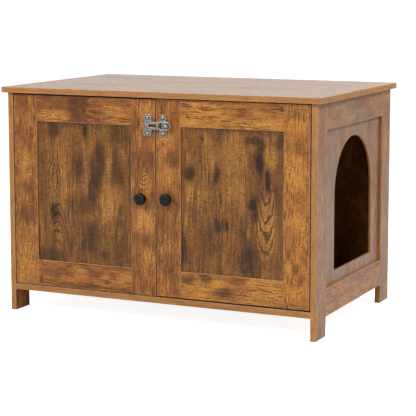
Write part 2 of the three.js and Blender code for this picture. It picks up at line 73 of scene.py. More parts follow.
MM = 0.001
X, Y, Z = 0, 1, 2
AXIS_NAMES = "xyz"
ORIGIN = (0, 0, 0)
WHITE = (1, 1, 1, 1)
SAME_PLACE = 0.02 * MM
DOUBLED = 0.01 * MM
FLAT_ANGLE = math.radians(0.5)

BODY_OF = {node: body for body, nodes in frame["record"]["behaviour"]["bodies"].items() for node in nodes}

# The materials that several pieces share, by name.
SHARED = {}


# ---------------------------------------------------------------- sizes and colours

def linear(code):
    """Linear RGB of an sRGB hex colour."""
    parts = [int(code[i:i + 2], 16) / 255 for i in (0, 2, 4)]
    return tuple(p / 12.92 if p <= 0.04045 else ((p + 0.055) / 1.055) ** 2.4 for p in parts)


def colour(name, code, description):
    return FloatVectorProperty(
        name=name, description=description, subtype="COLOR", size=3, min=0, max=1, default=linear(code))


def length(name, millimetres, description):
    return FloatProperty(
        name=name, description=description, default=millimetres * MM, min=0, unit="LENGTH", precision=5)


class CabinetSizes(bpy.types.PropertyGroup):
    """Sizes of what is finished on the cabinet's parts."""

    arris: length("Arris", 0.9, "Width of the eased edge between a board's face and its edge band")
    metal_edge: length("Metal edge", 0.45, "Rounding of the cast and pressed metal pieces")
    latch_screw_head: length("Latch screw head", 2, "Height of the heads on the latch's screws")
    knob_screw_head: length("Knob screw head", 2.6, "Height of the heads on the screws behind the knobs")
    screw_grip: length("Screw grip", 9, "How far the screws reach under their heads")


class CabinetColours(bpy.types.PropertyGroup):
    """Colours of the cabinet's finishes."""

    gold: colour("Gold grain", "E09C44", "Lightest flecks of the wood print")
    honey: colour("Honey grain", "CB8438", "Light planks of the wood print")
    chestnut: colour("Chestnut grain", "96562C", "Middle tone of the wood print")
    rust: colour("Rust grain", "8A4722", "Reddish planks of the wood print")
    # Also the colour of the painted shade that darkens the back panel.
    umber_and_painted_shade: colour("Umber smudges", "512E1C", "Reddish-brown smudges of the wood print")
    straw: colour("Straw panel", "A66C30", "Light tone of the door panels")
    olive: colour("Olive panel", "714A26", "Middle tone of the door panels")
    # Also the colour of the painted shadows along the door panels' edges.
    peat_and_painted_shadow: colour("Peat smudges", "352212", "Dark smudges of the door panels")
    # Also the near-black of painted shadow lines along the door panels' edges.
    soot_and_painted_shadow: colour("Soot marks", "150E08", "Knots and near-black marks of the wood print")
    # Grey of the painted sheen: the white studio seen in the gloss of the top and the right side.
    grey_of_painted_sheen: colour("Slate haze", "8E7F72", "Grey haze in the print of the sides and the top")
    band: colour("Edge band", "AE7940", "Edge band of the boards")
    band_line: colour("Edge band lines", "93602E", "Dark lines in the edge band")
    # Pale paper, and pale in part as a painted highlight of the rounded edge.
    arris: colour("Arris", "C39A70", "Pale line where the edge band meets the face")
    core: colour("Board core", "B58F62", "Raw particle board in the bores and grooves")
    lacquer: colour("Lacquer", "0B0B0C", "Black lacquer of the knobs")
    nickel: colour("Nickel", "A6A298", "Cast latch")
    # Dark patina round the latch's screws, with painted shade of their countersinks.
    patina_and_painted_shade: colour("Tarnish", "3B3730", "Dark metal round the latch's screws")
    steel: colour("Steel", "C6C6C4", "Hinges")
    bright_zinc: colour("Bright zinc", "D8D4CC", "Screws")
    zinc: colour("Die-cast zinc", "A8A8A4", "Cam fittings")
    floor: colour("Floor", "F4F4F2", "Studio floor")


def sizes():
    return bpy.context.scene.cabinet_sizes


def colours():
    return bpy.context.scene.cabinet_colours


def rgba(rgb):
    return (*rgb, 1.0)


def middle_of(node):
    low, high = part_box(node)
    return (low + high) / 2


# ---------------------------------------------------------------- patterns

# A value rises smoothly through a span, and stays between the span's two ends.
SMOOTH = {"interpolation_type": "SMOOTHSTEP"}

# The distance from a mark's middle counts in units of its half size, and up to the fray more where the
# print is weathered. The mark is solid up to the core and gone at the edge.
MARK_FRAY = 1.6
MARK_CORE = 1.15
MARK_EDGE = 2.4

# A flame's lines: how far they stray and over what distances in millimetres, how dark they are, which
# part of a wave is line, and where they fade, in units of the flame's half size.
GROWTH_STRAY = 0.3
GROWTH_SPACING = (16, 40, 20)
GROWTH_DARKNESS = 0.8
GROWTH_WAVE = (0.25, 0.95)
GROWTH_FADE = (0.45, 1.35)


def add(tree, kind, inputs=(), **settings):
    """Adds a node with its settings and links.

    Inputs come in order, or by name or number, and are values, sockets or nodes. A node passes its
    first output."""
    node = tree.nodes.new(kind)
    for name, value in settings.items():
        setattr(node, name, value)
    for key, value in inputs.items() if isinstance(inputs, dict) else enumerate(inputs):
        if isinstance(value, bpy.types.Node):
            value = value.outputs[0]
        if isinstance(value, bpy.types.NodeSocket):
            tree.links.new(value, node.inputs[key])
        else:
            node.inputs[key].default_value = value
    return node


def start_material(name):
    material = bpy.data.materials.new(name)
    material.use_nodes = True
    material.node_tree.nodes.clear()
    return material


def end_material(tree, surface, bumps=None):
    """Ends a material in its surface. Bumps have their pattern, a strength and a depth in millimetres."""
    if bumps:
        height, strength, depth = bumps
        surface["Normal"] = add(tree, "ShaderNodeBump", {
            "Height": height, "Strength": strength, "Distance": depth * MM})
    add(tree, "ShaderNodeOutputMaterial", {"Surface": add(tree, "ShaderNodeBsdfPrincipled", surface)})


def millimetre_place(tree, centre=ORIGIN, axes=(X, Y, Z)):
    """Object coordinates in millimetres from a centre, in the order of the axes given."""
    moved = add(tree, "ShaderNodeMapping", {
        "Vector": add(tree, "ShaderNodeTexCoord").outputs["Object"],
        "Location": tuple(-c / MM for c in centre),
        "Scale": (1 / MM,) * 3})
    parts = add(tree, "ShaderNodeSeparateXYZ", {"Vector": moved})
    return add(tree, "ShaderNodeCombineXYZ", [parts.outputs[axis] for axis in axes])


def grain(tree, place, spacing, offset, detail=3.0, roughness=0.55, distortion=0.0):
    """Noise whose cells are about a spacing apart, in the units of the place."""
    scaled = add(tree, "ShaderNodeMapping", {
        "Vector": place, "Location": offset, "Scale": tuple(1 / s for s in spacing)})
    return add(tree, "ShaderNodeTexNoise", {
        "Vector": scaled, "Scale": 1.0, "Detail": detail, "Roughness": roughness, "Distortion": distortion})


def wandering(tree, place, spacing, reach, offset):
    """The place moved about by noise, so that what is drawn on it gets a ragged outline."""
    noise = grain(tree, place, spacing, offset, detail=4.0, roughness=0.6)
    middle = add(tree, "ShaderNodeVectorMath", (noise.outputs["Color"], (0.5, 0.5, 0.5)),
                 operation="SUBTRACT")
    sized = add(tree, "ShaderNodeVectorMath", (middle, tuple(2 * r for r in reach)), operation="MULTIPLY")
    return add(tree, "ShaderNodeVectorMath", (place, sized))


def lay(tree, tone, colour_on_top, strengths, dimmed_by=None):
    """Lays a colour on a tone with the greatest of some strengths, less where it is dimmed."""
    amount, *others = strengths
    for strength in others:
        amount = add(tree, "ShaderNodeMath", (amount, strength), operation="MAXIMUM")
    if dimmed_by is not None:
        amount = add(tree, "ShaderNodeMath", (amount, dimmed_by), operation="MULTIPLY")
    return add(tree, "ShaderNodeMix", {0: amount, 6: tone, 7: colour_on_top}, data_type="RGBA").outputs[2]


def lay_crests(tree, tone, colour_on_top, value, span, strengths=(0, 1), dimmed_by=None):
    """Lays a colour on a tone, from one strength to another as a value rises through a span."""
    crest = add(tree, "ShaderNodeMapRange", (value, *span, *strengths), **SMOOTH)
    return lay(tree, tone, colour_on_top, [crest], dimmed_by)


def about_mark(tree, spot, mark):
    """Place in units of a mark's half sizes from its middle, and how far out that is."""
    sideways, up, half_width, half_height = mark[:4]
    near = add(tree, "ShaderNodeMapping", {
        "Vector": spot,
        "Location": (-sideways / half_width, -up / half_height, 0),
        "Scale": (1 / half_width, 1 / half_height, 0)})
    return near, add(tree, "ShaderNodeVectorMath", (near,), operation="LENGTH").outputs["Value"]


def ragged_marks(tree, spot, marks, weathering):
    """Strengths of marks whose edges fray with the weathering."""
    strengths = []
    for mark in marks:
        near, far = about_mark(tree, spot, mark)
        frayed = add(tree, "ShaderNodeMath", (weathering, MARK_FRAY, far), operation="MULTIPLY_ADD")
        solid_to_faded = (frayed, MARK_CORE, MARK_EDGE, mark[4], 0)
        strengths.append(add(tree, "ShaderNodeMapRange", solid_to_faded, **SMOOTH))
    return strengths


def growth_lines(tree, spot, flames):
    """Strengths of the thin dark lines nested round each flame in the grain."""
    strengths = []
    for flame in flames:
        near, far = about_mark(tree, spot, flame)
        parts = add(tree, "ShaderNodeSeparateXYZ", (near,))
        up = parts.outputs[Y]
        wide = add(tree, "ShaderNodeMath", (parts.outputs[X],), operation="ABSOLUTE")
        lines, bow = flame[4:]
        if bow:
            # Open loops, like a row of hanging bows: the bow across the board less the rise along it.
            across = add(tree, "ShaderNodeMath", (wide, wide), operation="MULTIPLY")
            rank = add(tree, "ShaderNodeMath", (up, -bow, across), operation="MULTIPLY_ADD")
        else:
            # Closed loops, pointed at both ends.
            rank = add(tree, "ShaderNodeMath", (up, up, wide), operation="MULTIPLY_ADD")
        uneven = grain(tree, spot, GROWTH_SPACING, flame[:3], detail=2)
        rank = add(tree, "ShaderNodeMath", (uneven, GROWTH_STRAY, rank), operation="MULTIPLY_ADD")
        turn = add(tree, "ShaderNodeMath", (rank, lines * 2 * math.pi), operation="MULTIPLY")
        wave = add(tree, "ShaderNodeMath", (turn,), operation="SINE")
        line = add(tree, "ShaderNodeMapRange", (wave, *GROWTH_WAVE, 0, GROWTH_DARKNESS), **SMOOTH)
        inside = add(tree, "ShaderNodeMapRange", (far, *GROWTH_FADE, 1, 0), **SMOOTH)
        strengths.append(add(tree, "ShaderNodeMath", (line, inside), operation="MULTIPLY"))
    return strengths


# ---------------------------------------------------------------- materials

class Look:
    """How the print of one board differs from the others' and where its marks lie.

    Tone makes more of the board light, and shade darkens all of it. Chance is how strongly planks and
    worn patches show that fall anywhere. Mottle and fine grain are the strengths of those, and painted
    sheen is the strength of a grey veil painted as the white studio's sheen on faces seen at a low angle.

    The marks come in three lists, dark, near-black and gold, and some of the dark and near-black ones are
    painted shadows. Each has its middle from the board's middle, sideways and up, and its half width and
    half height, in millimetres, then its strength. A flame has a number of lines and a bow instead of a
    strength."""

    def __init__(self, tone=0.0, shade=0.0, chance=0.7, mottle=0.35, fine_grain=1.0, haze=0.0,
                 umber_and_painted_shade=(), soot_and_painted_shadow=(), gold=(), flames=()):
        self.tone = tone
        self.shade = shade
        self.chance = chance
        self.mottle = mottle
        self.fine_grain = fine_grain
        self.haze = haze
        self.umber_and_painted_shade = umber_and_painted_shade
        self.soot_and_painted_shadow = soot_and_painted_shadow
        self.gold = gold
        self.flames = flames


# The two prints: honey oak on the frames and boards, and darker and longer-grained oak on the door panels.
# Each has its three colours, the strengths of its layers, and lengths along the board in millimetres.
FRAME_PRINT = SimpleNamespace(
    light="honey", middle="chestnut", dark="umber_and_painted_shade", rust=0.5, worn=0.8, mottle_spacing=(32, 40, 40),
    streak_length=150, streaks=0.5, pore_length=34, pores=0.85, ridges=0.55)
PANEL_PRINT = SimpleNamespace(
    light="straw", middle="olive", dark="peat_and_painted_shadow", rust=0.2, worn=0.3, mottle_spacing=(50, 130, 60),
    streak_length=300, streaks=0.4, pore_length=60, pores=0.65, ridges=0.35)
SAW_MARKS = 0.62
SPECKS = 0.7
# Least strength of the painted sheen, as a share of the board's own.
PAINTED_SHEEN_LEAST = 0.35

# Each board shows its own patch of the print, this far along for each step of its seed.
SEED_STEP = (3.7, 5.3, 1.9)


def wood_print(name, centre, axes, seed, look, kind):
    """Melamine print of weathered oak on particle board: satin, with long streaks and dark smudges."""
    shades = colours()
    light, middle, dark = (rgba(getattr(shades, shade)) for shade in (kind.light, kind.middle, kind.dark))
    gold, rust, peat_and_painted_shadow, soot_and_painted_shadow, grey_of_painted_sheen = (
        rgba(shade) for shade in (shades.gold, shades.rust, shades.peat_and_painted_shadow, shades.soot_and_painted_shadow, shades.grey_of_painted_sheen))
    material = start_material(name)
    tree = material.node_tree
    through = axes[2]
    place = millimetre_place(tree, centre, axes)
    face = millimetre_place(tree, centre, [axis for axis in (X, Y, Z) if axis != through] + [through])
    patch, far_patch, worn_patch, ruddy_patch = (
        tuple(times * seed * step + more for step in SEED_STEP)
        for times, more in ((1, 0), (3, 11), (2, 5), (5, 3)))

    # Lines wander a few millimetres sideways along the board.
    wavy = wandering(tree, place, (60, 130, 60), (9, 0, 0), far_patch)

    # Broad planks of tone, a few centimetres wide and much longer.
    planks = grain(tree, wavy, (34, 300, 60), patch, detail=5, roughness=0.62)
    swing = 0.5 * look.chance
    tone = lay_crests(tree, middle, light, planks, (0.4 - look.tone, 0.6 - look.tone),
                      (0.5 - swing, 0.5 + swing))
    # Shade darkens the whole board; on the back panel it is painted shade of the cabinet's inside.
    tone = lay(tree, tone, dark, [look.shade])

    # Planks that lean to red.
    ruddy = grain(tree, wavy, (44, 90, 60), ruddy_patch, detail=4)
    tone = lay_crests(tree, tone, rust, ruddy, (0.46, 0.62), (0, kind.rust))

    # Weathered mottles, about as long as they are wide on the frames and longer on the panels.
    mottle = grain(tree, place, kind.mottle_spacing, far_patch, detail=7, roughness=0.66, distortion=0.7)
    tone = lay_crests(tree, tone, dark, mottle, (0.5 + look.tone, 0.62 + look.tone), (0, look.mottle))

    # Worn patches and flecks of gold.
    worn = grain(tree, place, (26, 56, 40), worn_patch, detail=7, roughness=0.72)
    tone = lay_crests(tree, tone, gold, worn, (0.51 - look.tone, 0.62 - look.tone),
                      (0, kind.worn * look.chance))
    weathering = grain(tree, place, (17, 40, 30), far_patch, detail=6, roughness=0.7, distortion=0.4)
    if look.gold:
        tone = lay(tree, tone, gold, ragged_marks(tree, face, look.gold, weathering))

    # Grain streaks about 4 mm wide show from a step away, more in some zones than in others.
    fine = look.fine_grain
    streak = grain(tree, wavy, (3.8, kind.streak_length, 20), patch, detail=5, roughness=0.66)
    zones = grain(tree, place, (70, 240, 60), patch, detail=2)
    streaky_zones = add(tree, "ShaderNodeMapRange", (zones, 0.35, 0.6, 0.35, 1), **SMOOTH)
    tone = lay_crests(tree, tone, dark, streak, (0.5, 0.61), (0, kind.streaks * fine), streaky_zones)

    # Pores are drawn about 2 mm wide, many times the real width, to show at all. Ridges lie between them.
    pore = grain(tree, wavy, (2.2, kind.pore_length, 8), far_patch, detail=3, roughness=0.6)
    openings = grain(tree, place, (40, 70, 60), far_patch, detail=3)
    open_grain = add(tree, "ShaderNodeMapRange", (openings, 0.4, 0.58, 0.2, 1), **SMOOTH)
    tone = lay_crests(tree, tone, dark, pore, (0.5, 0.6), (0, kind.pores * fine), open_grain)
    tone = lay_crests(tree, tone, gold, pore, (0.47, 0.37), (0, kind.ridges * fine), open_grain)

    # Saw marks run across the grain and break it into short flecks. Specks lie here and there.
    saw = grain(tree, place, (9, 2.4, 10), patch, detail=4, roughness=0.75)
    tone = lay_crests(tree, tone, dark, saw, (0.51, 0.6), (0, SAW_MARKS * fine))
    speck = grain(tree, place, (4, 5, 6), far_patch, detail=3, roughness=0.6)
    tone = lay_crests(tree, tone, dark, speck, (0.6, 0.68), (0, SPECKS * fine))

    # Flames of growth lines.
    if look.flames:
        swaying = wandering(tree, face, (30, 60, 20), (4, 9, 0), patch)
        tone = lay(tree, tone, peat_and_painted_shadow, growth_lines(tree, swaying, look.flames))

    # Smudges and near-black marks, streaked like the grain that they lie on. Some of them are painted
    # shadows along the door panels' edges.
    bent = wandering(tree, face, (46, 60, 20), (14, 20, 0), patch)
    streaky = add(tree, "ShaderNodeMapRange", (streak, 0.34, 0.6, 0.78, 1), **SMOOTH)
    for marks, shade in ((look.umber_and_painted_shade, dark), (look.soot_and_painted_shadow, soot_and_painted_shadow)):
        if marks:
            tone = lay(tree, tone, shade, ragged_marks(tree, bent, marks, weathering), streaky)

    # Painted sheen: a grey veil in bands along the board, for the white studio seen in its gloss at a low
    # angle.
    if look.haze:
        cloud = grain(tree, wavy, (60, 260, 40), far_patch, detail=4)
        tone = lay_crests(tree, tone, grey_of_painted_sheen, cloud, (0.3, 0.62), (PAINTED_SHEEN_LEAST * look.haze, look.haze))

    end_material(tree, {
        "Base Color": tone,
        "Roughness": add(tree, "ShaderNodeMapRange", (pore, 0.3, 0.7, 0.26, 0.38), **SMOOTH),
        "Specular IOR Level": 0.3,
        "Sheen Weight": 0.12,
        "Sheen Roughness": 0.35}, bumps=(pore, 0.2, 0.2))
    return material


# The look of a board that is not listed, and the boards that have their own. Their marks are matched to the
# real print, except the painted shadows along the door panels' edges.
PLAIN = Look()
LOOKS = {
    # The back panel is darkened as painted shade, so that the inside seen through the arch is dark.
    "back_panel": Look(shade=0.8, fine_grain=0.6, chance=0.15),
    # The top's grey veil is painted sheen, the white studio seen in its gloss at a low angle.
    "top_board": Look(
        tone=0.08, haze=0.55, mottle=0.5, chance=1.0,
        umber_and_painted_shade=((-250, -120, 110, 40, 0.6), (-60, 60, 150, 26, 0.5), (190, -60, 120, 34, 0.6),
               (320, 120, 90, 30, 0.5), (-330, 150, 80, 30, 0.5), (60, -220, 160, 22, 0.5),
               (60, 190, 120, 24, 0.5), (-160, 20, 60, 18, 0.4)),
        gold=((-120, -190, 120, 30, 0.6), (330, -170, 90, 30, 0.6), (120, 60, 110, 22, 0.6),
              (-300, 30, 90, 24, 0.6), (-60, 220, 130, 24, 0.5))),
    # The left door's boards are darker than the right door's, which get more light tone.
    "left_door_outer_stile": Look(
        shade=0.2, chance=0.6, mottle=0.25,
        umber_and_painted_shade=((3, -66, 34, 30, 0.6), (4, 10, 28, 16, 0.4), (0, 228, 26, 18, 0.35),
               (-14, 130, 7, 70, 0.3), (16, 120, 5, 60, 0.2), (-4, -140, 24, 18, 0.2)),
        gold=((0, 82, 20, 30, 0.5), (0, -190, 30, 60, 0.6), (10, 190, 16, 30, 0.3))),
    "left_door_top_rail": Look(
        shade=0.24, chance=0.5, mottle=0.3,
        umber_and_painted_shade=((-22, 8, 24, 44, 0.95), (2, 12, 14, 34, 0.9), (-96, 20, 44, 16, 0.6),
               (38, 34, 16, 12, 0.4), (100, 26, 34, 9, 0.35), (-140, 0, 14, 36, 0.35),
               (30, -10, 20, 14, 0.3)),
        gold=((96, -4, 38, 24, 0.5), (-96, -18, 36, 10, 0.5), (-60, -24, 20, 7, 0.4))),
    "left_door_bottom_rail": Look(
        shade=0.12, chance=0.5, mottle=0.3,
        umber_and_painted_shade=((31, 10, 20, 12, 0.7), (84, 10, 16, 8, 0.6), (-79, 8, 56, 10, 0.45),
               (-10, -26, 80, 7, 0.4), (120, -28, 30, 7, 0.4), (-120, 20, 20, 10, 0.3)),
        soot_and_painted_shadow=((-129, -17, 5, 7, 0.5),),
        gold=((-14, 4, 24, 20, 0.4), (118, -2, 22, 16, 0.4), (60, -8, 22, 14, 0.4))),
    "left_door_inner_stile": Look(
        shade=0.06, chance=0.5, mottle=0.25,
        umber_and_painted_shade=((2, 102, 40, 26, 0.6), (-14, 76, 20, 18, 0.4), (0, -108, 40, 22, 0.65),
               (-18, -166, 13, 40, 0.5), (-2, -226, 36, 24, 0.4), (29, -3, 8, 30, 0.5),
               (-24, 192, 8, 60, 0.4), (20, -190, 14, 12, 0.3)),
        gold=((17, 222, 18, 28, 0.7), (13, -149, 14, 20, 0.8), (9, 30, 18, 24, 0.6),
              (6, -58, 26, 30, 0.5)),
        flames=((2, 42, 22, 32, 2.2, 1.2),)),
    "left_door_panel": Look(
        shade=0.08, mottle=0.2, chance=0.6,
        # The dark marks along the panel's top and left edges and the near-black line along its right edge
        # are painted shadows of the frame round the panel.
        umber_and_painted_shade=((-24, 62, 24, 34, 0.6), (96, 54, 18, 34, 0.6), (-4, -30, 38, 26, 0.6),
               (-100, -176, 50, 24, 0.7), (96, -73, 22, 22, 0.4), (-122, 40, 12, 120, 0.45),
               (0, 180, 134, 9, 0.5), (-20, -130, 26, 70, 0.3), (112, -150, 22, 44, 0.35),
               (20, 120, 20, 60, 0.3)),
        soot_and_painted_shadow=((-91, 162, 18, 26, 0.8), (4, 171, 8, 20, 0.9), (46, 96, 16, 40, 0.7),
              (36, 50, 16, 40, 0.75), (22, 10, 14, 34, 0.55), (104, 156, 36, 28, 0.5),
              (18, -119, 22, 40, 0.65), (-90, -54, 14, 18, 0.85), (57, -161, 8, 16, 0.8),
              (135, 60, 4, 130, 0.7), (96, 90, 12, 60, 0.4)),
        gold=((68, -27, 18, 64, 0.5), (-62, 42, 12, 80, 0.35), (-95, 15, 7, 56, 0.4),
              (14, 124, 14, 28, 0.3), (74, 80, 10, 36, 0.35), (100, 4, 18, 24, 0.3),
              (0, 30, 10, 30, 0.25)),
        flames=((-90, 36, 26, 66, 2.6, 0), (-84, -74, 34, 70, 3.2, -0.9))),
    "right_door_inner_stile": Look(
        chance=0.5, mottle=0.3,
        umber_and_painted_shade=((16, 100, 18, 24, 0.55), (-2, -67, 36, 50, 0.4), (4, -97, 10, 14, 0.4),
               (-3, -174, 34, 30, 0.45), (-18, 214, 5, 40, 0.5), (8, 206, 4, 40, 0.4),
               (0, 8, 30, 12, 0.3), (24, 30, 8, 120, 0.25)),
        soot_and_painted_shadow=((-12, 141, 4, 6, 0.7),),
        gold=((-3, 58, 26, 26, 0.5), (-2, 152, 22, 34, 0.45), (-4, -128, 20, 14, 0.4))),
    "right_door_top_rail": Look(
        tone=0.07, chance=0.5, mottle=0.25,
        umber_and_painted_shade=((30, 2, 42, 18, 0.35), (104, 18, 36, 18, 0.4), (-60, 34, 70, 5, 0.4),
               (-20, -28, 60, 4, 0.25)),
        soot_and_painted_shadow=((-119, -8, 4, 5, 0.6),),
        gold=((-64, 8, 60, 22, 0.6), (70, -24, 36, 9, 0.5))),
    "right_door_bottom_rail": Look(
        tone=0.11, chance=0.5, mottle=0.25,
        umber_and_painted_shade=((-18, -14, 26, 15, 0.9), (-121, 14, 20, 16, 0.85), (-72, 22, 22, 10, 0.9),
               (19, 24, 16, 9, 0.6), (70, 2, 64, 2, 0.5), (-40, -30, 60, 4, 0.3)),
        gold=((-81, -16, 36, 18, 0.5), (86, -14, 52, 13, 0.5), (-40, 10, 24, 10, 0.5),
              (90, 18, 46, 12, 0.5))),
    "right_door_outer_stile": Look(
        tone=0.07, chance=0.5, mottle=0.3,
        umber_and_painted_shade=((-13, 230, 24, 11, 0.45), (-1, 155, 28, 24, 0.4), (10, -174, 9, 16, 0.55),
               (-3, 25, 28, 20, 0.3), (-14, -90, 16, 40, 0.3), (0, -250, 26, 12, 0.3)),
        gold=((-3, 87, 28, 34, 0.5), (9, 200, 16, 20, 0.5), (4, -40, 22, 28, 0.45),
              (-6, -210, 22, 24, 0.45))),
    "right_door_panel": Look(
        shade=0.04, mottle=0.2, chance=0.6,
        # The dark marks along the panel's top, left and right edges and the near-black mark low on its left
        # edge are painted shadows of the frame round the panel.
        umber_and_painted_shade=((-124, -145, 16, 50, 0.45), (-35, -150, 10, 50, 0.5), (-41, 170, 20, 18, 0.5),
               (-116, 66, 24, 26, 0.45), (0, 181, 134, 8, 0.5), (128, 60, 8, 110, 0.4),
               (-132, 60, 7, 130, 0.5), (24, -60, 22, 50, 0.3), (-60, -100, 30, 40, 0.3),
               (-90, 130, 30, 40, 0.25), (60, 60, 18, 60, 0.3), (20, -130, 30, 50, 0.35)),
        soot_and_painted_shadow=((62, 156, 26, 12, 0.8), (80, 142, 12, 16, 0.75), (78, 104, 13, 32, 1.0),
              (98, 56, 7, 34, 0.95), (-118, 66, 14, 14, 0.85), (-42, 66, 10, 22, 0.8),
              (56, -2, 13, 22, 0.95), (60, -28, 9, 22, 0.7), (-37, -58, 10, 22, 0.75),
              (-17, -60, 10, 17, 0.8), (48, -150, 22, 46, 0.75), (56, -176, 16, 16, 0.6),
              (-82, 156, 5, 7, 0.9), (128, 160, 10, 16, 0.6), (-134, -120, 6, 40, 0.7)),
        gold=((3, 125, 34, 46, 0.3), (-96, 12, 40, 30, 0.25), (108, 118, 16, 30, 0.45),
              (-66, 112, 16, 46, 0.25), (10, 26, 34, 34, 0.2), (98, -60, 24, 66, 0.5)),
        flames=((92, -54, 42, 104, 4.4, 0.55),)),
    # The right side's grey veil is painted sheen, the white studio seen in its gloss at a low angle.
    "right_top_rail": Look(tone=0.02, umber_and_painted_shade=((20, 8, 40, 16, 0.5),), haze=0.5),
    "right_bottom_rail": Look(haze=0.2),
    "right_front_post": Look(haze=0.45),
    "right_rear_post": Look(haze=0.35),
    "right_side_panel": Look(tone=-0.03, haze=0.6),
}


def edge_band(axis):
    """Printed edge band: thin straight lines and short dashes along the board, tan and satin."""
    shades = colours()
    material = start_material(f"printed_edge_band_along_{AXIS_NAMES[axis]}")
    tree = material.node_tree
    before, after = (a for a in (X, Y, Z) if a != axis)
    place = millimetre_place(tree, axes=(before, axis, after))
    # The lines are drawn about 2 mm wide, so that they show from a step away.
    lines = grain(tree, place, (2.6, 44, 2.6), (3, 7, 5), detail=4, roughness=0.7)
    tone = lay_crests(tree, rgba(shades.band), rgba(shades.band_line), lines, (0.44, 0.6))
    dashes = grain(tree, place, (2.2, 12, 2.2), (8, 1, 6), detail=2)
    tone = lay_crests(tree, tone, rgba(shades.chestnut), dashes, (0.52, 0.62), (0, 0.45))
    cloud = grain(tree, place, (14, 90, 14), (9, 2, 4), detail=2)
    tone = lay_crests(tree, tone, rgba(shades.gold), cloud, (0.4, 0.7), (0, 0.2))
    end_material(tree, {"Base Color": tone, "Roughness": 0.42})
    return material


def arris_with_painted_highlight():
    """Scraped edge of the melamine, where its pale paper shows, pale in part as a painted highlight on the
    rounded edge.
    """
    shades = colours()
    material = start_material("scraped_melamine_arris_with_painted_highlight")
    tree = material.node_tree
    wear = grain(tree, millimetre_place(tree), (9, 9, 9), (1, 2, 3), detail=3)
    tone = lay_crests(tree, rgba(shades.arris), rgba(shades.band_line), wear, (0.42, 0.68))
    end_material(tree, {"Base Color": tone, "Roughness": 0.45})
    return material


def particle_board():
    """Raw particle board: pressed chips, matt and pale brown."""
    shades = colours()
    material = start_material("raw_particle_board")
    tree = material.node_tree
    chips = add(tree, "ShaderNodeTexVoronoi", {"Vector": millimetre_place(tree), "Scale": 0.6})
    tone = lay_crests(tree, rgba(shades.core), rgba(shades.chestnut), chips, (0.1, 0.8))
    end_material(tree, {"Base Color": tone, "Roughness": 0.85}, bumps=(chips, 0.5, 0.4))
    return material


# How far the patina and painted shade round a latch screw reach, in millimetres, and where they fade in
# units of that.
SCREW_SHADE_REACH = 7.5
SCREW_SHADE_FADE = (0.6, 1.1)


def metal(name, shade, roughness, relief, grit=1.0, mottle=0.25, shaded_hollows=()):
    """Bare or plated metal: mottled tone, a cast or a drawn surface, and dark rings of patina and painted
    shade round screws.
    """
    material = start_material(name)
    tree = material.node_tree
    place = millimetre_place(tree, axes=(X, Z, Y))
    cloud = grain(tree, place, (2 * grit,) * 3, (4, 8, 1), detail=4, roughness=0.65)
    dull = tuple(part * (1 - mottle) for part in shade)
    tone = lay_crests(tree, rgba(dull), rgba(shade), cloud, (0.4, 0.6))
    # A dark ring of patina and painted shade round each screw's countersink.
    for sideways, up in shaded_hollows:
        near, far = about_mark(tree, place, (sideways, up, SCREW_SHADE_REACH, SCREW_SHADE_REACH))
        tone = lay_crests(tree, tone, rgba(colours().patina_and_painted_shade), far, SCREW_SHADE_FADE, (0.85, 0))
    end_material(tree, {
        "Base Color": tone,
        "Metallic": 1.0,
        "Roughness": add(
            tree, "ShaderNodeMapRange", (cloud, 0.3, 0.7, 0.8 * roughness, 1.3 * roughness), **SMOOTH),
    }, bumps=(grain(tree, place, (grit,) * 3, (7, 1, 3), detail=4, roughness=0.6), relief, 0.4))
    return material


def black_lacquer():
    """Sprayed black lacquer: glossy, with a faint orange peel."""
    shade = colours().lacquer
    material = start_material("sprayed_black_lacquer")
    tree = material.node_tree
    place = millimetre_place(tree)
    dust = grain(tree, place, (6, 6, 6), (5, 1, 2), detail=4)
    dusty = tuple(1.8 * part for part in shade)
    end_material(tree, {
        "Base Color": lay_crests(tree, rgba(shade), rgba(dusty), dust, (0.4, 0.7)),
        "Roughness": add(tree, "ShaderNodeMapRange", (dust, 0.3, 0.7, 0.16, 0.24), **SMOOTH),
        "Specular IOR Level": 0.28,
    }, bumps=(grain(tree, place, (1.4, 1.4, 1.4), (2, 2, 2), detail=2), 0.06, 0.2))
    return material


def share_materials():
    """Makes the materials that several pieces share.

    Cast nickel is soft-edged and pitted, and dark round the screws with patina and painted shade. Pressed
    steel and zinc-plated screws are smooth and bright. Die-cast zinc is dull."""
    shades = colours()
    shaded_hollows = [(middle_of(node).x / MM, middle_of(node).z / MM) for node in LATCH_SCREWS]
    SHARED.update(
        band={axis: edge_band(axis) for axis in (X, Y, Z)},
        arris=arris_with_painted_highlight(),
        core=particle_board(),
        nickel=metal("cast_satin_nickel", shades.nickel, 0.27, relief=0.45, grit=2.4, mottle=0.42,
                     shaded_hollows=shaded_hollows),
        steel=metal("pressed_nickel_steel", shades.steel, 0.25, relief=0.1),
        screw=metal("bright_zinc_screws", shades.bright_zinc, 0.25, relief=0.1, grit=0.8),
        zinc=metal("die_cast_zinc", shades.zinc, 0.4, relief=0.3),
        lacquer=black_lacquer())


# ---------------------------------------------------------------- pieces

def finish_piece(bm, name, node, materials, replaced):
    """Turns a bmesh into a piece that rides on a node's body and stands for the replaced nodes."""
    mesh = bpy.data.meshes.new(name)
    bm.to_mesh(mesh)
    bm.free()
    for material in materials:
        mesh.materials.append(material)
    piece = bpy.data.objects.new(name, mesh)
    bpy.context.scene.collection.objects.link(piece)
    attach(piece, BODY_OF[node])
    if replaced:
        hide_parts(*replaced)


def join_flat_faces(bm):
    bmesh.ops.dissolve_limit(
        bm, angle_limit=FLAT_ANGLE, verts=bm.verts, edges=bm.edges, use_dissolve_boundaries=False)


def merged_copy(node):
    """The CAD node's shape with its doubled points merged and its flat facets joined."""
    bm = bmesh.new()
    bm.from_mesh(frame["nodes"][node].data)
    bmesh.ops.remove_doubles(bm, verts=bm.verts, dist=DOUBLED)
    join_flat_faces(bm)
    return bm


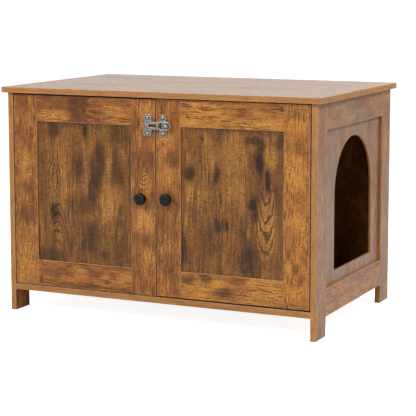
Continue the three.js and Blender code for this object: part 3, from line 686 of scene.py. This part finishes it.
def bevel_edges(bm, edges, width):
    """Eases edges by a width and gives back the new faces."""
    return bmesh.ops.bevel(
        bm, geom=edges, offset=width, offset_type="OFFSET", segments=2, profile=0.5,
        affect="EDGES", material=-1, clamp_overlap=True)["faces"]


def is_at(value, ends):
    return any(abs(value - end) < SAME_PLACE for end in ends)


def laminate(node, along, print_name, seed, kind=FRAME_PRINT, cut_band=None):
    """A board: print on its two faces, edge band round it, an eased arris and a raw core in its cuts.

    A board with a cut band has a band in its cuts instead, and their rims are eased too."""
    low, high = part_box(node)
    size = high - low
    ends = [(low[axis], high[axis]) for axis in (X, Y, Z)]
    through = min((X, Y, Z), key=lambda axis: size[axis])
    across = X + Y + Z - through - along
    bm = merged_copy(node)

    PRINT, LONG_BAND, END_BAND, CORE, ARRIS = range(5)
    skin = {through: PRINT, across: LONG_BAND, along: END_BAND}
    for face in bm.faces:
        axis = max((X, Y, Z), key=lambda a: abs(face.normal[a]))
        on_skin = is_at(face.calc_center_median()[axis], ends[axis])
        face.material_index = skin[axis] if on_skin else CORE

    def is_arris(edge):
        """An edge that lies in two of the board's outer planes."""
        first, second = (v.co for v in edge.verts)
        shared = [axis for axis in (X, Y, Z)
                  if any(is_at(first[axis], (end,)) and is_at(second[axis], (end,)) for end in ends[axis])]
        return len(shared) >= 2

    def is_rim(edge):
        """An edge between the print and a cut."""
        return {face.material_index for face in edge.link_faces} == {PRINT, CORE}

    chosen = [edge for edge in bm.edges if is_arris(edge) or (cut_band is not None and is_rim(edge))]
    for face in bevel_edges(bm, chosen, sizes().arris):
        face.material_index = ARRIS
    middle = tuple((low + high) / 2)
    finish_piece(bm, f"{node}_laminate", node, [
        wood_print(print_name, middle, (across, along, through), seed, LOOKS.get(node, PLAIN), kind),
        SHARED["band"][along],
        SHARED["band"][across],
        SHARED["core"] if cut_band is None else SHARED["band"][cut_band],
        SHARED["arris"]], (node,))


def show_smooth(bm, sharp_angle=35):
    """Smooth shading, with the edges kept sharp where the faces turn by more than the angle."""
    for face in bm.faces:
        face.smooth = True
    for edge in bm.edges:
        edge.smooth = len(edge.link_faces) == 2 and edge.calc_face_angle(0) < math.radians(sharp_angle)


def soften(node, material, least_angle=40):
    """A metal piece in its CAD shape, with the edges rounded that turn by more than the angle."""
    bm = merged_copy(node)
    bevel_edges(bm, [
        edge for edge in bm.edges
        if len(edge.link_faces) == 2 and edge.calc_face_angle(0) > math.radians(least_angle)],
        sizes().metal_edge)
    show_smooth(bm)
    finish_piece(bm, f"{node}_finished", node, [material], (node,))


def turned(profile, steps):
    """A closed turned shape: the profile's radius and height in millimetres, spun about Z."""
    bm = bmesh.new()
    points = [bm.verts.new((radius * MM, 0, height * MM)) for radius, height in profile]
    edges = [bm.edges.new(pair) for pair in zip(points, points[1:])]
    bmesh.ops.spin(bm, geom=points + edges, cent=ORIGIN, axis=(0, 0, 1), angle=2 * math.pi,
                   steps=steps, use_merge=True)
    bmesh.ops.remove_doubles(bm, verts=bm.verts, dist=DOUBLED)
    bmesh.ops.recalc_face_normals(bm, faces=bm.faces)
    return bm


def point_to(bm, place, direction):
    """Turns what points to +Z in a direction, and moves its origin to a place."""
    turn = Vector(direction).to_track_quat("Z", "Y").to_matrix().to_4x4()
    bmesh.ops.transform(bm, matrix=Matrix.Translation(place) @ turn, verts=bm.verts)


def sink_cross(bm, face, half_length, half_width, depth):
    """Sinks a cross recess, measured in millimetres, into the middle of a flat face."""
    centre = face.calc_center_median()
    down = -face.normal.copy()
    side = down.orthogonal().normalized()
    other = down.cross(side)
    rim = list(face.edges)
    bmesh.ops.delete(bm, geom=[face], context="FACES_ONLY")
    arm = ((half_width, -half_width), (half_length, -half_width), (half_length, half_width))
    corners = []
    for quarter in range(4):
        turn = Matrix.Rotation(quarter * math.pi / 2, 3, "Z")
        for along, aside in arm:
            flat = turn @ Vector((along, aside, 0)) * MM
            corners.append(bm.verts.new(centre + side * flat.x + other * flat.y))
    cross = [bm.edges.new((a, b)) for a, b in zip(corners, corners[1:] + corners[:1])]
    bmesh.ops.bridge_loops(bm, edges=rim + cross)
    sunk = bmesh.ops.extrude_edge_only(bm, edges=cross)["geom"]
    moved = [item for item in sunk if isinstance(item, bmesh.types.BMVert)]
    bmesh.ops.translate(bm, verts=moved, vec=down * depth * MM)
    bmesh.ops.contextual_create(bm, geom=[item for item in sunk if isinstance(item, bmesh.types.BMEdge)])
    bmesh.ops.recalc_face_normals(bm, faces=bm.faces)


# A pan head from its rim to its top, as shares of the head's radius and height.
HEAD_OUTLINE = ((1, 0), (1, 0.35), (0.93, 0.65), (0.8, 0.88), (0.62, 1), (0, 1))
HEAD_FACETS = 24

# The shank's radius and the cross's half length and half width are shares of the head's radius, and the
# cross's depth is a share of its height.
SHANK_SHARE = 0.4
CROSS_LENGTH_SHARE = 0.52
CROSS_WIDTH_SHARE = 0.13
CROSS_DEPTH_SHARE = 0.6


def put_screw(name, node, place, direction, radius, height, replaced=()):
    """A pan-head screw with a cross recess on a node's body, the underside of its head at a place.

    The head's radius and height are in millimetres."""
    shank = SHANK_SHARE * radius
    grip = sizes().screw_grip / MM
    bm = turned([(0, -grip), (shank, shank - grip), (shank, 0)]
                + [(radius * out, height * up) for out, up in HEAD_OUTLINE], HEAD_FACETS)
    join_flat_faces(bm)
    top = max(bm.faces, key=lambda face: face.calc_center_median().z)
    sink_cross(bm, top, radius * CROSS_LENGTH_SHARE, radius * CROSS_WIDTH_SHARE, height * CROSS_DEPTH_SHARE)
    point_to(bm, place, direction)
    show_smooth(bm)
    finish_piece(bm, name, node, [SHARED["screw"]], replaced)


# Which way a screw's head faces along Y.
FRONT, BACK = -1, 1


def finish_screw(node, outwards, head):
    """A screw in place of its CAD node, its head at the node's front or back end and as high as given."""
    low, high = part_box(node)
    middle = middle_of(node)
    top = low.y if outwards == FRONT else high.y
    put_screw(f"{node}_finished", node, Vector((middle.x, top - outwards * head, middle.z)),
              (0, outwards, 0), (high.x - low.x) / 2 / MM, head / MM, (node,))


# The knob's outline: radius and distance from the door, in millimetres. A round shoulder and a slightly
# raised face follow on it.
KNOB_OUTLINE = (
    (0, 0), (8.8, 0), (9, 0.4), (8.8, 1.2), (8.1, 2.6), (7.3, 3.9), (6.7, 5.2), (6.5, 6.6), (6.5, 10.6),
    (6.9, 12), (8.2, 13.1), (10.6, 14), (13.2, 14.7), (14.8, 15.4), (15.7, 16.4), (16, 17.6))
KNOB_SHOULDER = 5.0
KNOB_SHOULDER_STEPS = 10
KNOB_TOP = 27.0
KNOB_FACE_RISE = 1.2
KNOB_FACE_STEPS = 5
KNOB_FACETS = 72
KNOB_SHARP_ANGLE = 50


def knob(node):
    """A turned knob: waisted neck, round cap and a nearly flat face."""
    widest, shoulder_start = KNOB_OUTLINE[-1]
    face_radius = widest - KNOB_SHOULDER
    shoulder_height = KNOB_TOP - KNOB_FACE_RISE - shoulder_start
    outline = list(KNOB_OUTLINE)
    for step in range(1, KNOB_SHOULDER_STEPS + 1):
        turn = math.pi / 2 * step / KNOB_SHOULDER_STEPS
        outline.append((face_radius + KNOB_SHOULDER * math.cos(turn),
                        shoulder_start + shoulder_height * math.sin(turn)))
    for step in range(1, KNOB_FACE_STEPS + 1):
        share = 1 - step / KNOB_FACE_STEPS
        outline.append((face_radius * share, KNOB_TOP - KNOB_FACE_RISE * share ** 2))
    bm = turned(outline, KNOB_FACETS)
    door_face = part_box(node)[1].y
    middle = middle_of(node)
    point_to(bm, Vector((middle.x, door_face, middle.z)), (0, -1, 0))
    show_smooth(bm, KNOB_SHARP_ANGLE)
    finish_piece(bm, f"{node}_lacquered", node, [SHARED["lacquer"]], (node,))


# The hinges' screws: radius and height of the head, in millimetres.
CUP_SCREW = (3.2, 1.4)
ARM_SCREW = (3.6, 1.8)
ADJUSTER = (3.0, 0.9)

# Where they sit, in millimetres: above and below the middle, forward of the arm's rear end and out from
# the post.
CUP_SCREW_RISE = 24
ARM_SCREW_RISE = 16
ARM_SCREW_AHEAD = 16
ARM_SCREW_OUT = 2
ADJUSTER_AHEAD = (("front", 24), ("rear", 10))
ADJUSTER_OUT = 12
LOWER_AND_UPPER = (("lower", -1), ("upper", 1))


def hinge(side, end):
    """A cup hinge: cup with its flange screws in the door, arm with its screws on the post."""
    cup, arm = (f"{side}_{end}_hinge_{part}" for part in ("cup", "arm"))
    soften(cup, SHARED["steel"])
    soften(arm, SHARED["steel"])
    inwards = 1 if side == "left" else -1
    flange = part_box(cup)[1].y
    cup_middle = middle_of(cup)
    arm_low, arm_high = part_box(arm)
    on_post = Vector((arm_low.x if side == "left" else arm_high.x, arm_high.y, middle_of(arm).z))
    for name, up in LOWER_AND_UPPER:
        place = Vector((cup_middle.x, flange, cup_middle.z + up * CUP_SCREW_RISE * MM))
        put_screw(f"{cup}_{name}_screw", cup, place, (0, 1, 0), *CUP_SCREW)
    for name, up in LOWER_AND_UPPER:
        place = on_post + Vector((inwards * ARM_SCREW_OUT, -ARM_SCREW_AHEAD, up * ARM_SCREW_RISE)) * MM
        put_screw(f"{arm}_{name}_screw", arm, place, (inwards, 0, 0), *ARM_SCREW)
    for name, ahead in ADJUSTER_AHEAD:
        place = on_post + Vector((inwards * ADJUSTER_OUT, -ahead, 0)) * MM
        put_screw(f"{arm}_{name}_adjuster", arm, place, (inwards, 0, 0), *ADJUSTER)


# The cross in a cam: half its length, half its width and its depth, in millimetres.
CAM_CROSS = (4.5, 0.9, 1.6)


def cam(node, direction):
    """A cam fitting with the cross that a screwdriver turns, in the face that looks in a direction."""
    bm = merged_copy(node)

    def how_far(face):
        return face.calc_center_median().dot(Vector(direction))

    outside = max(how_far(face) for face in bm.faces)
    outer_faces = [face for face in bm.faces if is_at(how_far(face), (outside,))]
    sink_cross(bm, max(outer_faces, key=lambda face: face.calc_area()), *CAM_CROSS)
    show_smooth(bm)
    finish_piece(bm, f"{node}_finished", node, [SHARED["zinc"]], (node,))


# ---------------------------------------------------------------- operators

SIDES = ("left", "right")

# Each side frame's boards and the way that their grain runs.
SIDE_BOARDS = (("front_post", Z), ("rear_post", Z), ("top_rail", Y), ("bottom_rail", Y), ("side_panel", Z))
ARCHED_BOARD = "right_side_panel"

# The first seeds of the side boards' and the doors' prints, and the step from one door to the other.
SIDE_SEED = 10
DOOR_SEED = 30
DOOR_SEED_STEP = 10

LATCH_SCREWS = tuple(
    f"latch_{part}_{level}_screw" for part in ("base", "keeper") for level in ("lower", "upper"))


class CABINET_OT_boards(bpy.types.Operator):
    """Lays the print, edge bands and arrises on the carcass boards"""

    bl_idname = "cabinet.boards"
    bl_label = "Carcass boards"

    def execute(self, context):
        laminate("top_board", X, "oak_print_top", 1)
        laminate("bottom_board", X, "oak_print_bottom", 2)
        laminate("back_panel", Z, "oak_print_back", 3)
        for number, side in enumerate(SIDES):
            for step, (board, along) in enumerate(SIDE_BOARDS):
                node = f"{side}_{board}"
                laminate(node, along, f"oak_print_{node}", SIDE_SEED + 2 * step + number,
                         cut_band=Z if node == ARCHED_BOARD else None)
        return {"FINISHED"}


class CABINET_OT_doors(bpy.types.Operator):
    """Lays the print, edge bands and arrises on both doors"""

    bl_idname = "cabinet.doors"
    bl_label = "Doors"

    def execute(self, context):
        for number, side in enumerate(SIDES):
            seed = DOOR_SEED + DOOR_SEED_STEP * number
            laminate(f"{side}_door_outer_stile", Z, f"oak_print_{side}_outer_stile", seed)
            laminate(f"{side}_door_inner_stile", Z, f"oak_print_{side}_inner_stile", seed + 1)
            laminate(f"{side}_door_top_rail", X, f"oak_print_{side}_door_top_rail", seed + 2)
            laminate(f"{side}_door_bottom_rail", X, f"oak_print_{side}_door_bottom_rail", seed + 3)
            laminate(f"{side}_door_panel", Z, f"dark_oak_print_{side}_door_panel", seed + 4, PANEL_PRINT)
        return {"FINISHED"}


class CABINET_OT_knobs(bpy.types.Operator):
    """Turns the two knobs and the screws behind them"""

    bl_idname = "cabinet.knobs"
    bl_label = "Knobs"

    def execute(self, context):
        for side in SIDES:
            knob(f"{side}_knob")
            finish_screw(f"{side}_knob_screw", BACK, sizes().knob_screw_head)
        return {"FINISHED"}


class CABINET_OT_latch(bpy.types.Operator):
    """Finishes the cast latch and its screws"""

    bl_idname = "cabinet.latch"
    bl_label = "Flip latch"

    def execute(self, context):
        for node in ("latch_base", "latch_pin", "latch_bar", "latch_keeper"):
            soften(node, SHARED["nickel"])
        for node in LATCH_SCREWS:
            finish_screw(node, FRONT, sizes().latch_screw_head)
        return {"FINISHED"}


class CABINET_OT_hinges(bpy.types.Operator):
    """Finishes the cup hinges"""

    bl_idname = "cabinet.hinges"
    bl_label = "Cup hinges"

    def execute(self, context):
        for side in SIDES:
            for end in ("lower", "upper"):
                hinge(side, end)
        return {"FINISHED"}


class CABINET_OT_cams(bpy.types.Operator):
    """Finishes the cam fittings that hold the boards together"""

    bl_idname = "cabinet.cams"
    bl_label = "Cam fittings"

    def execute(self, context):
        for side, inwards in zip(SIDES, (1, -1)):
            for end in ("front", "rear"):
                cam(f"{side}_{end}_top_cam", (inwards, 0, 0))
                cam(f"{side}_{end}_bottom_cam", (0, 0, -1))
                for level in ("top", "bottom"):
                    soften(f"{side}_{end}_{level}_bolt", SHARED["zinc"])
        return {"FINISHED"}


class CABINET_OT_stage(bpy.types.Operator):
    """Sets the floor, the lamps, the world and the camera"""

    bl_idname = "cabinet.stage"
    bl_label = "Studio stage"

    def execute(self, context):
        scene = context.scene
        scene.view_settings.view_transform = "Standard"
        make_floor(scene)
        make_world(scene)
        make_lamps(scene)
        make_camera(scene)
        return {"FINISHED"}


# ---------------------------------------------------------------- stage

FLOOR_HALF = 60.0
FLOOR_GLOW = 0.9

# The world's strength on the object, and where the lens sees it.
SOFT_WORLD = 0.24
SEEN_WORLD = 1.0

# Each lamp's name, place and side in metres, and its power in watts.
LAMPS = (
    ("key_softbox", (-1.5, -3.3, 2.9), 1.4, 89),
    ("fill_softbox", (0.9, -3.6, 2.5), 1.0, 34),
    ("right_softbox", (2.4, 0.9, 2.6), 0.8, 64))

# The camera's place in metres, its angles, and its lens, sensor and shift.
CAMERA_PLACE = (1.70791, -3.60720, 0.88620)
CAMERA_TURN = math.radians(-25.077)
CAMERA_DIP = math.radians(7.236)
CAMERA_ROLL = math.radians(-0.042)
CAMERA_LENS = 128.96
CAMERA_SENSOR = 36.0
CAMERA_SHIFT = -0.1


def make_floor(scene):
    """A white floor. The lens sees it white with a faint shadow, and pale paint bounces the light."""
    material = start_material("matt_white_floor")
    tree = material.node_tree
    seen = add(tree, "ShaderNodeLightPath").outputs["Is Camera Ray"]
    glow = add(tree, "ShaderNodeMath", (seen, FLOOR_GLOW), operation="MULTIPLY")
    both = add(tree, "ShaderNodeAddShader", (
        add(tree, "ShaderNodeBsdfDiffuse", {"Color": rgba(colours().floor)}),
        add(tree, "ShaderNodeEmission", {"Color": WHITE, "Strength": glow})))
    add(tree, "ShaderNodeOutputMaterial", {"Surface": both})
    bm = bmesh.new()
    bmesh.ops.create_grid(bm, x_segments=1, y_segments=1, size=FLOOR_HALF)
    mesh = bpy.data.meshes.new("studio_floor")
    bm.to_mesh(mesh)
    bm.free()
    mesh.materials.append(material)
    floor = bpy.data.objects.new("studio_floor", mesh)
    scene.collection.objects.link(floor)


def make_world(scene):
    """A white studio: plain white to the lens and in reflections, and a weak light on the object."""
    world = bpy.data.worlds.new("white_studio")
    world.use_nodes = True
    tree = world.node_tree
    tree.nodes.clear()
    ray = add(tree, "ShaderNodeLightPath").outputs
    seen = ray["Is Camera Ray"]
    for kind in ("Is Glossy Ray", "Is Transmission Ray"):
        seen = add(tree, "ShaderNodeMath", (seen, ray[kind]), operation="MAXIMUM")
    both = add(tree, "ShaderNodeMixShader", (
        seen,
        add(tree, "ShaderNodeBackground", {"Color": WHITE, "Strength": SOFT_WORLD}),
        add(tree, "ShaderNodeBackground", {"Color": WHITE, "Strength": SEEN_WORLD})))
    add(tree, "ShaderNodeOutputWorld", {"Surface": both})
    scene.world = world


def make_lamps(scene):
    """Three softboxes that face the cabinet's middle."""
    middle = (cad_low + cad_high) / 2
    for name, place, side, watts in LAMPS:
        lamp = bpy.data.lights.new(name, "AREA")
        lamp.shape = "SQUARE"
        lamp.size = side
        lamp.energy = watts
        holder = bpy.data.objects.new(name, lamp)
        holder.location = place
        holder.rotation_euler = (middle - Vector(place)).to_track_quat("-Z", "Y").to_euler()
        scene.collection.objects.link(holder)


def make_camera(scene):
    """The camera, where the photograph was taken from."""
    data = bpy.data.cameras.new("photo_camera")
    data.sensor_width = CAMERA_SENSOR
    data.lens = CAMERA_LENS
    data.shift_y = CAMERA_SHIFT
    camera = bpy.data.objects.new("photo_camera", data)
    ahead = Vector((
        math.sin(CAMERA_TURN) * math.cos(CAMERA_DIP),
        math.cos(CAMERA_TURN) * math.cos(CAMERA_DIP),
        -math.sin(CAMERA_DIP)))
    turn = ahead.to_track_quat("-Z", "Y").to_matrix().to_4x4()
    camera.matrix_world = Matrix.Translation(CAMERA_PLACE) @ turn @ Matrix.Rotation(CAMERA_ROLL, 4, "Z")
    scene.collection.objects.link(camera)
    scene.camera = camera


# ---------------------------------------------------------------- add-on

class CABINET_PT_panel(bpy.types.Panel):
    """Lists the cabinet's operators, sizes and colours"""

    bl_idname = "CABINET_PT_panel"
    bl_label = "Cabinet"
    bl_space_type = "VIEW_3D"
    bl_region_type = "UI"
    bl_category = "Cabinet"

    def draw(self, context):
        layout = self.layout
        for operator in OPERATORS:
            layout.operator(operator.bl_idname)
        for group in (context.scene.cabinet_sizes, context.scene.cabinet_colours):
            for name in group.__annotations__:
                layout.prop(group, name)


OPERATORS = (CABINET_OT_boards, CABINET_OT_doors, CABINET_OT_knobs, CABINET_OT_latch, CABINET_OT_hinges,
             CABINET_OT_cams, CABINET_OT_stage)
CLASSES = (CabinetSizes, CabinetColours, *OPERATORS, CABINET_PT_panel)


def register():
    for cls in CLASSES:
        bpy.utils.register_class(cls)
    bpy.types.Scene.cabinet_sizes = PointerProperty(type=CabinetSizes)
    bpy.types.Scene.cabinet_colours = PointerProperty(type=CabinetColours)


def unregister():
    del bpy.types.Scene.cabinet_sizes
    del bpy.types.Scene.cabinet_colours
    for cls in reversed(CLASSES):
        bpy.utils.unregister_class(cls)


def main():
    register()
    share_materials()
    bpy.ops.cabinet.boards()
    bpy.ops.cabinet.doors()
    bpy.ops.cabinet.knobs()
    bpy.ops.cabinet.latch()
    bpy.ops.cabinet.hinges()
    bpy.ops.cabinet.cams()
    bpy.ops.cabinet.stage()


if __name__ == "__main__":
    main()
